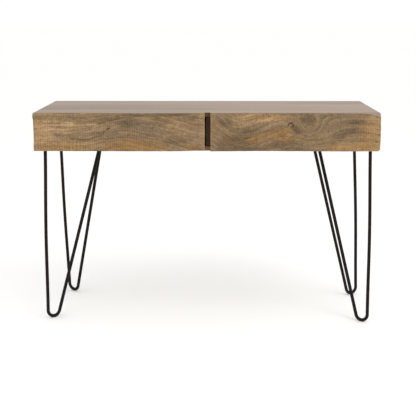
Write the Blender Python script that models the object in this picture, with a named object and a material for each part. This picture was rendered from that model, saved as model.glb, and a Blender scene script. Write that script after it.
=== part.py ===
"""Writing desk: a slab-like wooden case with two drawers side by side, on four bent-rod legs.

Metres, +Z up. The origin is on the floor under the middle of the desk. +X runs along the desk to
the right, and both drawers pull out towards -Y.
"""

import math

import bmesh
import bpy
import numpy as np
from mathutils import Matrix, Vector

# Whole desk
WIDTH = 1.210  # over the ends of the drawer fronts
DEPTH = 0.502  # from the drawer fronts' faces to the back
HEIGHT = 0.762
FIT = 0.0003  # left between two pieces that touch

# Case
CASE_HEIGHT = 0.134
TOP_THICKNESS = 0.015
BOTTOM_THICKNESS = 0.015
END_THICKNESS = 0.018
BACK_THICKNESS = 0.012
DIVIDER_THICKNESS = 0.018
DIVIDER_X = 0.006
DIVIDER_SETBACK = 0.004  # behind the front edges of the other boards
ARRIS = 0.001  # chamfer along the edges of the boards

# Drawer fronts: thick boards that cover the case's front edges and both of its ends
FRONT_THICKNESS = 0.018
FRONT_OVERHANG = 0.003  # past each end of the case
FRONT_STANDOFF = 0.001  # between a closed front and the case
FINGER_GAP = 0.0195  # between the two fronts
FINGER_GAP_X = 0.003
EDGE_SAMPLES = 9  # points on each edge of a front, besides its knots

# The fronts' edges keep the tree's shape. Each knot is (how far along the edge, how far in):
# "end" runs up the outer end, "top" and "bottom" run from the finger gap to the outer end.
FRONT_EDGES = {
    "left": {
        "end": ((0.0, 0.0040), (0.4, 0.0052), (0.8, 0.0026), (0.95, 0.0), (1.0, 0.0)),
        "top": ((0.0, 0.0010), (0.3, 0.0020), (0.8, 0.0), (0.95, 0.0004), (1.0, 0.0050)),
        "bottom": ((0.0, 0.0025), (0.3, 0.0), (1.0, 0.0006)),
    },
    "right": {
        "end": ((0.0, 0.0050), (0.3, 0.0016), (0.6, 0.0), (1.0, 0.0028)),
        "top": ((0.0, 0.0006), (0.5, 0.0), (0.9, 0.0014), (0.965, 0.0020), (1.0, 0.0110)),
        "bottom": ((0.0, 0.0), (0.3, 0.0012), (0.8, 0.0), (0.985, 0.0002), (1.0, 0.0050)),
    },
}

# Drawer boxes
BOX_WALL = 0.012
BOX_FLOOR_GAP = 0.005  # under the box
BOX_HEAD_GAP = 0.009  # over the box
BOX_REAR_GAP = 0.042  # between the box and the back panel
PANEL_THICKNESS = 0.006  # the drawer's bottom, held in grooves
GROOVE_DEPTH = 0.005
GROOVE_RISE = 0.008  # above the lower edge of the box
GROOVE_PLAY = 0.0004

# Drawer slides: a channel on the drawer that runs inside a channel on the case
SLIDE_SPACE = 0.0127  # between a drawer side and the case
SLIDE_HEIGHT = 0.035
SLIDE_GAUGE = 0.0012
SLIDE_LIP_GAP = 0.003  # between the case channel's lips and the drawer side
SLIDE_RACE = 0.0006  # between the two channels
SLIDE_SETBACK = 0.006  # behind the case's front edges
SLIDE_REAR_GAP = 0.023  # from the slide's rear end to the box's

# Legs: a round rod bent to a hairpin, welded to a flat plate under the case
ROD_RADIUS = 0.006
BEND_RADIUS = 0.023  # to the rod's centre line
ROD_BOW = 0.003  # of the outer half, outwards
ROD_SIDES = 12
BEND_STEPS = 14
BOW_STEPS = 8
PLATE_THICKNESS = 0.003
PLATE_WIDTH = 0.036
PLATE_END = 0.014  # past the rod's centre at each end
PLATE_CORNER = 0.010
CORNER_STEPS = 4

# The legs are bent and welded by hand, so each has places of its own: which end of the desk, which
# face, then the rod's outer top, inner top and foot. The outer top and the foot are (in from the
# case's end, in from the desk's face), and the inner top is (in from the end, out from the middle).
LEGS = {
    "front_left": (-1, -1, (0.026, 0.075), (0.208, 0.056), (0.038, 0.085)),
    "front_right": (1, -1, (0.021, 0.071), (0.193, 0.058), (0.040, 0.040)),
    "back_right": (1, 1, (0.030, 0.084), (0.201, 0.076), (0.029, 0.103)),
    "back_left": (-1, 1, (0.027, 0.079), (0.201, 0.050), (0.062, 0.054)),
}

# Screws
SCREW_SIDES = 12
SCREW_RADIUS = 0.00225
SCREW_HEAD_RADIUS = 0.0045
SCREW_HEAD_HEIGHT = 0.0026
SCREW_TIP = 0.003
SCREW_PLAY = 0.0004  # round a screw in its hole, and past its tip
LEG_SCREW_COVER = 0.003  # of the bottom board left over a screw's tip
LEG_SCREW_IN = 0.030  # from a rod's centre, along the plate
LEG_SCREW_PITCH = 0.020  # across the plate
FRONT_SCREW_COVER = 0.005  # of the thick front left over a screw's tip
FRONT_SCREW_SHARE = 0.30  # of the box's width, from its middle to each screw

CASE_END = WIDTH / 2 - FRONT_OVERHANG
CASE_BOTTOM = HEIGHT - CASE_HEIGHT
FRONT_FACE = -DEPTH / 2
BACK_FACE = DEPTH / 2
CASE_FRONT = FRONT_FACE + FRONT_THICKNESS + FRONT_STANDOFF
BAY_FLOOR = CASE_BOTTOM + BOTTOM_THICKNESS
BAY_CEILING = HEIGHT - TOP_THICKNESS
BOX_FRONT = FRONT_FACE + FRONT_THICKNESS + FIT
BOX_BACK = BACK_FACE - BACK_THICKNESS - BOX_REAR_GAP
BOX_LOW = BAY_FLOOR + BOX_FLOOR_GAP
BOX_HIGH = BAY_CEILING - BOX_HEAD_GAP
SLIDE_Z = (BOX_LOW + BOX_HIGH) / 2
PLATE_TOP = CASE_BOTTOM - FIT
PLATE_BOTTOM = PLATE_TOP - PLATE_THICKNESS
SMOOTH_ANGLE = math.radians(40)


def clear_scene():
    for obj in list(bpy.data.objects):
        bpy.data.objects.remove(obj)


def finish(name, colour, roughness, metallic=0.0):
    """A Principled material; each piece gets its own."""
    made = bpy.data.materials.new(name)
    made.use_nodes = True
    shader = made.node_tree.nodes["Principled BSDF"]
    shader.inputs["Base Color"].default_value = (*colour, 1.0)
    shader.inputs["Roughness"].default_value = roughness
    shader.inputs["Metallic"].default_value = metallic
    made.diffuse_color = (*colour, 1.0)
    return made


def sawn_wood(name):
    return finish(name + "_sawn_wood", (0.26, 0.19, 0.11), 0.75)


def smooth_wood(name):
    return finish(name + "_smooth_wood", (0.40, 0.32, 0.27), 0.60)


def plain_wood(name):
    return finish(name + "_plain_wood", (0.45, 0.33, 0.20), 0.65)


def black_iron(name):
    return finish(name + "_black_iron", (0.015, 0.012, 0.011), 0.45, 0.6)


def zinc_steel(name):
    return finish(name + "_zinc_steel", (0.55, 0.56, 0.58), 0.35, 1.0)


def place_of(group):
    """Where a group's empty lies in the desk's frame. No empty is turned."""
    place = Vector((0, 0, 0))
    while group:
        place += group.location
        group = group.parent
    return place


def anchor(name, location, parent=None):
    """An empty that a group of pieces hangs from."""
    empty = bpy.data.objects.new(name, None)
    empty.empty_display_size = 0.05
    empty.parent = parent
    empty.location = Vector(location) - place_of(parent)
    bpy.context.scene.collection.objects.link(empty)
    return empty


def put(name, mesh, wood_or_metal, group, location, turn=(0, 0, 0)):
    """One named piece at a place in the desk's frame, hung from its group's empty."""
    obj = bpy.data.objects.new(name, mesh)
    obj.parent = group
    obj.location = Vector(location) - place_of(group)
    obj.rotation_euler = turn
    bpy.context.scene.collection.objects.link(obj)
    if not mesh.materials:
        mesh.materials.append(None)
    obj.material_slots[0].link = "OBJECT"
    obj.material_slots[0].material = wood_or_metal(name)
    return obj


def ease(obj):
    """Takes the sharp arrises off a board."""
    bevel = obj.modifiers.new("arris", "BEVEL")
    bevel.width = ARRIS
    bevel.segments = 1
    bevel.limit_method = "ANGLE"
    bevel.angle_limit = SMOOTH_ANGLE


def mesh_from(bm, name):
    bmesh.ops.recalc_face_normals(bm, faces=bm.faces)
    mesh = bpy.data.meshes.new(name)
    bm.to_mesh(mesh)
    bm.free()
    return mesh


def shade_round(mesh):
    mesh.shade_smooth()
    mesh.set_sharp_from_angle(angle=SMOOTH_ANGLE)


def board(name, low, high, wood, group):
    """A straight board between two opposite corners, with eased arrises."""
    low = Vector(low)
    high = Vector(high)
    bm = bmesh.new()
    bmesh.ops.create_cube(bm, size=1)
    bmesh.ops.scale(bm, vec=high - low, verts=bm.verts)
    obj = put(name, mesh_from(bm, name), wood, group, (low + high) / 2)
    ease(obj)
    return obj


def prism(name, outline, axis, length):
    """A mesh: an outline swept along axis 0, 1 or 2 (X, Y or Z), with its middle at zero there.
    The outline's pairs are the other two coordinates, in X, Y, Z order."""
    bm = bmesh.new()
    verts = []
    for pair in outline:
        corner = list(pair)
        corner.insert(axis, -length / 2)
        verts.append(bm.verts.new(corner))
    swept = bmesh.ops.extrude_face_region(bm, geom=[bm.faces.new(verts)])["geom"]
    shift = Vector((0, 0, 0))
    shift[axis] = length
    far_verts = [item for item in swept if isinstance(item, bmesh.types.BMVert)]
    bmesh.ops.translate(bm, vec=shift, verts=far_verts)
    return mesh_from(bm, name)


def screw_mesh(name, length):
    """A pan-head screw along +Z: the head seats at z = 0 and the tip is at z = length."""
    profile = (
        (0, -SCREW_HEAD_HEIGHT),
        (SCREW_HEAD_RADIUS * 0.6, -SCREW_HEAD_HEIGHT),
        (SCREW_HEAD_RADIUS, -SCREW_HEAD_HEIGHT * 0.4),
        (SCREW_HEAD_RADIUS, 0),
        (SCREW_RADIUS, 0),
        (SCREW_RADIUS, length - SCREW_TIP),
        (0, length),
    )
    bm = bmesh.new()
    verts = [bm.verts.new((radius, 0, height)) for radius, height in profile]
    edges = [bm.edges.new(pair) for pair in zip(verts, verts[1:])]
    bmesh.ops.spin(
        bm,
        geom=verts + edges,
        axis=(0, 0, 1),
        cent=(0, 0, 0),
        angle=math.tau,
        steps=SCREW_SIDES,
        use_merge=True,
    )
    bmesh.ops.remove_doubles(bm, verts=bm.verts, dist=1e-6)
    mesh = mesh_from(bm, name)
    shade_round(mesh)
    return mesh


def drill(target, holes, depth, direction):
    """Cuts a screw hole at each of the points, this deep along the direction."""
    outside = 0.002  # the cutter starts this far before the surface
    radius = SCREW_RADIUS + SCREW_PLAY
    turn = Vector((0, 0, 1)).rotation_difference(Vector(direction)).to_matrix().to_4x4()
    middle = Matrix.Translation((0, 0, (depth - outside) / 2))
    bm = bmesh.new()
    for hole in holes:
        bmesh.ops.create_cone(
            bm,
            cap_ends=True,
            segments=SCREW_SIDES,
            radius1=radius,
            radius2=radius,
            depth=depth + outside,
            matrix=Matrix.Translation(hole) @ turn @ middle,
        )
    cutter = bpy.data.objects.new(target.name + "_holes", mesh_from(bm, target.name + "_holes"))
    cutter.hide_render = True
    cutter.display_type = "WIRE"
    bpy.context.scene.collection.objects.link(cutter)
    cut = target.modifiers.new("holes", "BOOLEAN")
    cut.operation = "DIFFERENCE"
    cut.object = cutter


def make_case(case):
    """The boards that are glued up into the case. Returns the bottom board."""
    board(
        "top_board",
        (-CASE_END, CASE_FRONT, BAY_CEILING),
        (CASE_END, BACK_FACE, HEIGHT),
        smooth_wood,
        case,
    )
    bottom = board(
        "bottom_board",
        (-CASE_END, CASE_FRONT, CASE_BOTTOM),
        (CASE_END, BACK_FACE, BAY_FLOOR),
        sawn_wood,
        case,
    )
    low_z = BAY_FLOOR + FIT
    high_z = BAY_CEILING - FIT
    inside = CASE_END - END_THICKNESS
    board("left_end_panel", (-CASE_END, CASE_FRONT, low_z), (-inside, BACK_FACE, high_z), sawn_wood, case)
    board("right_end_panel", (inside, CASE_FRONT, low_z), (CASE_END, BACK_FACE, high_z), sawn_wood, case)
    panel_front = BACK_FACE - BACK_THICKNESS
    board(
        "back_panel",
        (FIT - inside, panel_front, low_z),
        (inside - FIT, BACK_FACE, high_z),
        sawn_wood,
        case,
    )
    board(
        "centre_divider",
        (DIVIDER_X - DIVIDER_THICKNESS / 2, CASE_FRONT + DIVIDER_SETBACK, low_z),
        (DIVIDER_X + DIVIDER_THICKNESS / 2, panel_front - FIT, high_z),
        plain_wood,
        case,
    )
    return bottom


def blend(knots, t):
    """A smooth curve through knots (t, value): between two of them it eases in and out."""
    for (t0, value0), (t1, value1) in zip(knots, knots[1:]):
        if t <= t1:
            part = (t - t0) / (t1 - t0)
            return value0 + (value1 - value0) * part * part * (3 - 2 * part)
    return knots[-1][1]


def samples(knots):
    """Places along an edge: evenly spaced, and at each knot."""
    even = [i / (EDGE_SAMPLES - 1) for i in range(EDGE_SAMPLES)]
    return sorted({*even, *(t for t, _ in knots)})


def front_outline(edges, inner_x, outer_x):
    """(x, z) round a drawer front: along the bottom to the outer end, up it and back at the top."""
    out = math.copysign(1, outer_x - inner_x)
    span = abs(outer_x - inner_x)
    bottom_span = span - blend(edges["end"], 0)
    top_span = span - blend(edges["end"], 1)
    end_low = CASE_BOTTOM + blend(edges["bottom"], 1)
    end_rise = HEIGHT - blend(edges["top"], 1) - end_low
    points = []
    for t in samples(edges["bottom"]):
        points.append((inner_x + out * t * bottom_span, CASE_BOTTOM + blend(edges["bottom"], t)))
    for t in samples(edges["end"])[1:-1]:
        points.append((outer_x - out * blend(edges["end"], t), end_low + t * end_rise))
    for t in reversed(samples(edges["top"])):
        points.append((inner_x + out * t * top_span, HEIGHT - blend(edges["top"], t)))
    return points


def grooved_outline(outer, inward):
    """(across, z) round a wall of a drawer box, with the bottom panel's groove in its inner face.
    The wall's outer face is at `outer`, and `inward` is 1 or -1."""
    inner = outer + inward * BOX_WALL
    cut = inner - inward * GROOVE_DEPTH
    groove_low = BOX_LOW + GROOVE_RISE
    groove_high = groove_low + PANEL_THICKNESS + 2 * GROOVE_PLAY
    return (
        (inner, BOX_LOW),
        (inner, groove_low),
        (cut, groove_low),
        (cut, groove_high),
        (inner, groove_high),
        (inner, BOX_HIGH),
        (outer, BOX_HIGH),
        (outer, BOX_LOW),
    )


def make_drawer(side, bay_left, bay_right, case):
    """One drawer and its slides. The bay is the space between two upright boards of the case."""
    middle_x = (bay_left + bay_right) / 2
    middle_y = (BOX_FRONT + BOX_BACK) / 2
    drawer = anchor(side + "_drawer", (middle_x, FRONT_FACE, SLIDE_Z))
    box_left = bay_left + SLIDE_SPACE
    box_right = bay_right - SLIDE_SPACE
    name = side + "_drawer_"

    out = -1 if side == "left" else 1
    inner_x = FINGER_GAP_X + out * FINGER_GAP / 2
    outline = front_outline(FRONT_EDGES[side], inner_x, out * WIDTH / 2)
    front_y = FRONT_FACE + FRONT_THICKNESS / 2
    front_mesh = prism(name + "front", outline, 1, FRONT_THICKNESS)
    front = put(name + "front", front_mesh, sawn_wood, drawer, (0, front_y, 0))
    ease(front)

    for piece, outer, inward in (("left_side", box_left, 1), ("right_side", box_right, -1)):
        mesh = prism(name + piece, grooved_outline(outer, inward), 1, BOX_BACK - BOX_FRONT)
        put(name + piece, mesh, plain_wood, drawer, (0, middle_y, 0))
    between_sides = box_right - box_left - 2 * (BOX_WALL + FIT)
    crosswise = {}
    for piece, outer, inward in (("box_front", BOX_FRONT, 1), ("back", BOX_BACK, -1)):
        mesh = prism(name + piece, grooved_outline(outer, inward), 0, between_sides)
        crosswise[piece] = put(name + piece, mesh, plain_wood, drawer, (middle_x, 0, 0))
    to_panel = BOX_WALL - GROOVE_DEPTH + GROOVE_PLAY
    panel_z = BOX_LOW + GROOVE_RISE + GROOVE_PLAY
    board(
        name + "bottom",
        (box_left + to_panel, BOX_FRONT + to_panel, panel_z),
        (box_right - to_panel, BOX_BACK - to_panel, panel_z + PANEL_THICKNESS),
        plain_wood,
        drawer,
    )

    screw_way = FRONT_SCREW_SHARE * between_sides
    seat_y = BOX_FRONT + BOX_WALL
    holes = [Vector((middle_x + way * screw_way, seat_y, SLIDE_Z)) for way in (-1, 1)]
    depth = BOX_WALL + FRONT_THICKNESS - FRONT_SCREW_COVER
    screw = screw_mesh(name + "front_screw", depth - SCREW_PLAY)
    for number, hole in enumerate(holes, 1):
        seat = hole + Vector((0, FIT, 0))
        put(f"{name}front_screw_{number}", screw, zinc_steel, drawer, seat, (math.pi / 2, 0, 0))
    drill(crosswise["box_front"], holes, depth, (0, -1, 0))
    drill(front, holes, depth, (0, -1, 0))

    make_slide(name + "left_slide_", bay_left, 1, case, drawer)
    make_slide(name + "right_slide_", bay_right, -1, case, drawer)


def channel_outline(back, open_to, depth, height):
    """(x, z) round a steel channel with its back at x = back, open towards +X or -X."""
    web = back + open_to * SLIDE_GAUGE
    lip = back + open_to * depth
    low = SLIDE_Z - height / 2
    high = SLIDE_Z + height / 2
    return (
        (back, low),
        (lip, low),
        (lip, low + SLIDE_GAUGE),
        (web, low + SLIDE_GAUGE),
        (web, high - SLIDE_GAUGE),
        (lip, high - SLIDE_GAUGE),
        (lip, high),
        (back, high),
    )


def make_slide(name, wall_x, inward, case, drawer):
    """One slide between the case's wall at wall_x and the drawer side that faces it."""
    start = CASE_FRONT + SLIDE_SETBACK
    end = BOX_BACK - SLIDE_REAR_GAP
    middle = (0, (start + end) / 2, 0)

    case_back = wall_x + inward * FIT
    case_depth = SLIDE_SPACE - FIT - SLIDE_LIP_GAP
    outline = channel_outline(case_back, inward, case_depth, SLIDE_HEIGHT)
    mesh = prism(name + "case_channel", outline, 1, end - start)
    put(name + "case_channel", mesh, zinc_steel, case, middle)

    drawer_back = wall_x + inward * (SLIDE_SPACE - FIT)
    drawer_depth = SLIDE_SPACE - 2 * FIT - SLIDE_GAUGE - SLIDE_RACE
    drawer_height = SLIDE_HEIGHT - 2 * (SLIDE_GAUGE + SLIDE_RACE)
    outline = channel_outline(drawer_back, -inward, drawer_depth, drawer_height)
    mesh = prism(name + "drawer_channel", outline, 1, end - start)
    put(name + "drawer_channel", mesh, zinc_steel, drawer, middle)


def rod_path(outer_top, inner_top, foot):
    """Centre line of a hairpin: down its outer half, round the bend and up its inner half. It lies
    in one plane, whose normal comes second."""
    along = (inner_top - outer_top).normalized()
    rise = outer_top - foot
    up = (rise - rise.dot(along) * along).normalized()
    centre = foot + up * BEND_RADIUS

    def touch(top, way):
        """Where the straight half from `top` meets the bend, as an angle round the bend's centre."""
        across = (top - centre).dot(along)
        above = (top - centre).dot(up)
        return math.atan2(above, across) + way * math.acos(BEND_RADIUS / math.hypot(across, above))

    def on_bend(angle):
        return centre + BEND_RADIUS * (math.cos(angle) * along + math.sin(angle) * up)

    first = touch(outer_top, 1)
    last = touch(inner_top, -1) + math.tau
    points = []
    for i in range(BOW_STEPS):
        t = i / BOW_STEPS
        bow = ROD_BOW * math.sin(math.pi * t) ** 2
        points.append(outer_top.lerp(on_bend(first), t) - bow * along)
    points.extend(on_bend(angle) for angle in np.linspace(first, last, BEND_STEPS))
    points.append(inner_top)
    return points, along.cross(up)


def rod_mesh(name, points, normal):
    """A round rod along points in one plane, both of its ends cut level with the last points."""
    top_z = points[0].z
    last = len(points) - 1
    bm = bmesh.new()
    rings = []
    for i, point in enumerate(points):
        tangent = (points[min(i + 1, last)] - points[max(i - 1, 0)]).normalized()
        outward = tangent.cross(normal)
        ring = []
        for angle in np.linspace(0, math.tau, ROD_SIDES, endpoint=False):
            corner = point + ROD_RADIUS * (math.cos(angle) * outward + math.sin(angle) * normal)
            if i in (0, last):
                corner += tangent * ((top_z - corner.z) / tangent.z)
            ring.append(bm.verts.new(corner))
        rings.append(ring)
    for ring, after in zip(rings, rings[1:]):
        for j in range(ROD_SIDES):
            bm.faces.new((ring[j], ring[j - 1], after[j - 1], after[j]))
    bm.faces.new(rings[0])
    bm.faces.new(rings[-1])
    mesh = mesh_from(bm, name)
    shade_round(mesh)
    return mesh


def plate_outline(length):
    """(x, y) round a plate with rounded corners, its length along X."""
    points = []
    for quarter, (end, side) in enumerate(((1, 1), (-1, 1), (-1, -1), (1, -1))):
        x = end * (length / 2 - PLATE_CORNER)
        y = side * (PLATE_WIDTH / 2 - PLATE_CORNER)
        for angle in np.linspace(quarter, quarter + 1, CORNER_STEPS) * math.pi / 2:
            points.append((x + PLATE_CORNER * math.cos(angle), y + PLATE_CORNER * math.sin(angle)))
    return points


def make_leg(name, end, side, outer, inner, foot, case):
    """One leg: its rod, its plate and four screws. Returns where the screws enter the plate."""
    rod_top = PLATE_BOTTOM - FIT
    outer_top = Vector((end * (CASE_END - outer[0]), side * (BACK_FACE - outer[1]), rod_top))
    inner_top = Vector((end * (CASE_END - inner[0]), side * inner[1], rod_top))
    foot = Vector((end * (CASE_END - foot[0]), side * (BACK_FACE - foot[1]), ROD_RADIUS))
    leg = anchor(name, (outer_top + inner_top) / 2, case)
    points, normal = rod_path(outer_top, inner_top, foot)
    rod = rod_mesh(name + "_rod", [point - place_of(leg) for point in points], normal)
    put(name + "_rod", rod, black_iron, leg, place_of(leg))

    reach = inner_top - outer_top
    along = reach.normalized()
    across = Vector((0, 0, 1)).cross(along)
    middle = (outer_top + inner_top) / 2
    plate_mesh = prism(name + "_plate", plate_outline(reach.length + 2 * PLATE_END), 2, PLATE_THICKNESS)
    middle.z = (PLATE_TOP + PLATE_BOTTOM) / 2
    turn = (0, 0, math.atan2(along.y, along.x))
    plate = put(name + "_plate", plate_mesh, black_iron, leg, middle, turn)

    middle.z = PLATE_BOTTOM
    screw_along = along * (reach.length / 2 - LEG_SCREW_IN)
    screw_across = across * (LEG_SCREW_PITCH / 2)
    holes = [middle + i * screw_along + j * screw_across for i in (-1, 1) for j in (-1, 1)]
    screw = screw_mesh(name + "_screw", screw_depth() - SCREW_PLAY)
    for number, hole in enumerate(holes, 1):
        put(f"{name}_screw_{number}", screw, black_iron, leg, hole - Vector((0, 0, FIT)))
    drill(plate, holes, screw_depth(), (0, 0, 1))
    return holes


def screw_depth():
    """How deep a leg's screw hole is, from the plate's lower face."""
    return PLATE_THICKNESS + BOTTOM_THICKNESS - LEG_SCREW_COVER


def build():
    clear_scene()
    case = anchor("case", (0, 0, CASE_BOTTOM))
    bottom = make_case(case)
    inside = CASE_END - END_THICKNESS
    make_drawer("left", -inside, DIVIDER_X - DIVIDER_THICKNESS / 2, case)
    make_drawer("right", DIVIDER_X + DIVIDER_THICKNESS / 2, inside, case)
    holes = []
    for name, (end, side, outer, inner, foot) in LEGS.items():
        holes.extend(make_leg(name + "_leg", end, side, outer, inner, foot, case))
    drill(bottom, holes, screw_depth() + SCREW_PLAY, (0, 0, 1))


build()
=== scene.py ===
import math

import bpy
import numpy as np
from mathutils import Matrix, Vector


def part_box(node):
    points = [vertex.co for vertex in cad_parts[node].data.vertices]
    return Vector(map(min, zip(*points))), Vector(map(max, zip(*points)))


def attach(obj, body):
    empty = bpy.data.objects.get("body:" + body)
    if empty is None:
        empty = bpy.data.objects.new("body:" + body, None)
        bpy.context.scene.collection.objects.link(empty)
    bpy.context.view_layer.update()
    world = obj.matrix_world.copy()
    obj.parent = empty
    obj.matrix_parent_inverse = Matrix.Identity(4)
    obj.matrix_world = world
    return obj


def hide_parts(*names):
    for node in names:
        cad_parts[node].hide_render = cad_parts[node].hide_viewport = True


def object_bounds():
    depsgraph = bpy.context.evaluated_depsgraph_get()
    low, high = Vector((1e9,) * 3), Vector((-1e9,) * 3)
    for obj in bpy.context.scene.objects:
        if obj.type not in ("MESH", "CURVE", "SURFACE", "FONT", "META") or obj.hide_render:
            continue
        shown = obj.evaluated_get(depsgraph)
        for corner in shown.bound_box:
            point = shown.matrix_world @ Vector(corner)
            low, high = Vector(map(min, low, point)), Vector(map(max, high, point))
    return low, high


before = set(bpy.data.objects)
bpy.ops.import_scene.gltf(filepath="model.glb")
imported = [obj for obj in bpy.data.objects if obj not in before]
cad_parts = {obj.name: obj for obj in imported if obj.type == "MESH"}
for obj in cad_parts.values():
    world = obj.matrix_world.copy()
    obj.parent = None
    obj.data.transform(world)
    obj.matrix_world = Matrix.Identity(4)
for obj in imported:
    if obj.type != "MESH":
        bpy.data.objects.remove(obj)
cadLow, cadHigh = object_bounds()

# Everything is in metres, in the desk's own frame: X runs along the desk, -Y faces the sitter and
# Z is up.
desk = {
    "back": cadHigh.y,
    "top": cadHigh.z,
    "caseBottom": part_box("bottom_board")[0].z,
    "plateBottom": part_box("front_left_leg_plate")[0].z,
}
desk["caseEnd"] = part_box("top_board")[1].x
desk["caseHeight"] = desk["top"] - desk["caseBottom"]


# Shapes worked out as whole arrays


def ease(share):
    # goes from 0 to 1 with no corner at either end
    share = np.clip(share, 0.0, 1.0)
    return share * share * (3.0 - 2.0 * share)


def curveThrough(knots, place):
    # eases from each knot (place, value) to the next
    places = np.array([knot[0] for knot in knots])
    values = np.array([knot[1] for knot in knots])
    left = np.clip(np.searchsorted(places, place, side="right") - 1, 0, len(places) - 2)
    share = (place - places[left]) / (places[left + 1] - places[left])
    return values[left] + (values[left + 1] - values[left]) * ease(share)


latticeSize = 64


def wander(u, v, seed):
    # smooth random height from -1 to 1: random values on a lattice of whole numbers, eased between
    lattice = np.random.default_rng(seed).uniform(-1.0, 1.0, (latticeSize, latticeSize))
    column = np.floor(u).astype(int)
    row = np.floor(v).astype(int)
    across = ease(u - column)
    up = ease(v - row)

    def between(line):
        # from one column to the next, along this row
        first = lattice[column % latticeSize, line % latticeSize]
        second = lattice[(column + 1) % latticeSize, line % latticeSize]
        return first * (1 - across) + second * across

    return between(row) * (1 - up) + between(row + 1) * up


def spot(x, h, centre, half, slope=0.0):
    # 1 inside an ellipse, easing to 0 outside it
    turn = math.radians(slope)
    u = ((x - centre[0]) * math.cos(turn) + (h - centre[1]) * math.sin(turn)) / half[0]
    v = ((h - centre[1]) * math.cos(turn) - (x - centre[0]) * math.sin(turn)) / half[1]
    return ease(1.35 - np.hypot(u, v))


def steps(low, high, pitch, arris):
    # places from low to high: close together in each arris, then evenly spaced
    inner = max(1, round((high - low - 2 * arris) / pitch))
    rise = arris * (1 - np.cos(np.linspace(0, math.pi / 2, 4)))[:-1]
    middle = np.linspace(low + arris, high - arris, inner + 1)
    return np.concatenate((low + rise, middle, (high - rise)[::-1]))


def gridQuads(columns, rows, flipped=False):
    # corner numbers of every square of a grid, anticlockwise from above unless flipped
    first = (np.arange(columns - 1)[:, None] * rows + np.arange(rows - 1)[None, :]).ravel()
    quads = np.stack((first, first + rows, first + rows + 1, first + 1), axis=1)
    return quads[:, ::-1] if flipped else quads


def weld(points, quads):
    # grid points at one place become one point, and squares that lose a side there become triangles
    keys = np.round(points / 1e-6).astype(np.int64)
    kept, which = np.unique(keys, axis=0, return_index=True, return_inverse=True)[1:]
    return points[kept], which.reshape(-1)[quads]


def boxShell(xs, ys, zs):
    # six grids, one to each face of a box, welded where two faces meet
    samples = (xs, ys, zs)
    points = []
    quads = []
    count = 0
    for axis in range(3):
        us = samples[(axis + 1) % 3]
        vs = samples[(axis + 2) % 3]
        for end in (0, -1):
            grid = np.empty((len(us), len(vs), 3))
            grid[..., (axis + 1) % 3] = us[:, None]
            grid[..., (axis + 2) % 3] = vs[None, :]
            grid[..., axis] = samples[axis][end]
            points.append(grid.reshape(-1, 3))
            quads.append(gridQuads(len(us), len(vs), flipped=end == 0) + count)
            count += grid.size // 3
    return weld(np.concatenate(points), np.concatenate(quads))


def roundArrises(points, low, high, radius):
    # near an edge a point moves to this radius from the box that lies that far inside
    radius = np.broadcast_to(radius, (len(points),))[:, None]
    inside = np.clip(points, low + radius, high - radius)
    away = points - inside
    return inside + away / np.linalg.norm(away, axis=1, keepdims=True) * radius


def tube(path, sideways, radius, sides):
    # rings of a round section along a path that lies in the plane at right angles to `sideways`
    ahead = np.gradient(path, axis=0)
    ahead /= np.linalg.norm(ahead, axis=1, keepdims=True)
    across = np.cross(sideways, ahead)
    angle = np.linspace(0, 2 * math.pi, sides + 1)
    ring = np.cos(angle)[None, :, None] * across[:, None, :] + np.sin(angle)[None, :, None] * sideways
    points = path[:, None, :] + ring * np.asarray(radius).reshape(-1, 1, 1)
    return weld(points.reshape(-1, 3), gridQuads(len(path), sides + 1, flipped=True))


def turned(radius, height, sides, lift=None):
    # a profile of (radius, height) pairs turned round the Z axis; `lift` adds height by radius and angle
    angle = np.linspace(0, 2 * math.pi, sides + 1)
    spread, around = np.meshgrid(radius, angle, indexing="ij")
    rise = np.repeat(np.asarray(height)[:, None], sides + 1, axis=1)
    if lift is not None:
        rise = rise + lift(spread, around)
    around = np.where(np.isclose(around, 2 * math.pi), 0.0, around)
    points = np.stack((spread * np.cos(around), spread * np.sin(around), rise), axis=-1)
    return weld(points.reshape(-1, 3), gridQuads(len(radius), sides + 1))


def piece(name, points, quads, finish, body, replaced, fields=None):
    # a new mesh object that rides on a body and stands for CAD nodes
    mesh = bpy.data.meshes.new(name)
    corners = [list(dict.fromkeys(quad)) for quad in quads.tolist()]
    mesh.from_pydata(points.tolist(), [], [face for face in corners if len(face) > 2])
    mesh.shade_smooth()
    for field, values in (fields or {}).items():
        attribute = mesh.attributes.new(field, "FLOAT", "POINT")
        attribute.data.foreach_set("value", np.asarray(values, np.float32))
    mesh.materials.append(finish)
    made = bpy.data.objects.new(name, mesh)
    bpy.context.scene.collection.objects.link(made)
    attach(made, body)
    if replaced:
        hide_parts(*replaced)
    return made


# Shader maths


def paint(red, green, blue):
    # a colour given as 0 to 255 for each part, as a shader wants it
    linear = []
    for part in (red / 255, green / 255, blue / 255):
        linear.append(part / 12.92 if part < 0.04045 else ((part + 0.055) / 1.055) ** 2.4)
    return (*linear, 1.0)


class Wire:
    # a socket in a shader, on which sums add Math nodes
    def __init__(self, finish, socket):
        self.finish = finish
        self.socket = socket

    def __add__(self, other):
        return self.finish.calc("ADD", self, other)

    def __radd__(self, other):
        return self.finish.calc("ADD", other, self)

    def __sub__(self, other):
        return self.finish.calc("SUBTRACT", self, other)

    def __rsub__(self, other):
        return self.finish.calc("SUBTRACT", other, self)

    def __mul__(self, other):
        return self.finish.calc("MULTIPLY", self, other)

    def __rmul__(self, other):
        return self.finish.calc("MULTIPLY", other, self)


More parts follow.
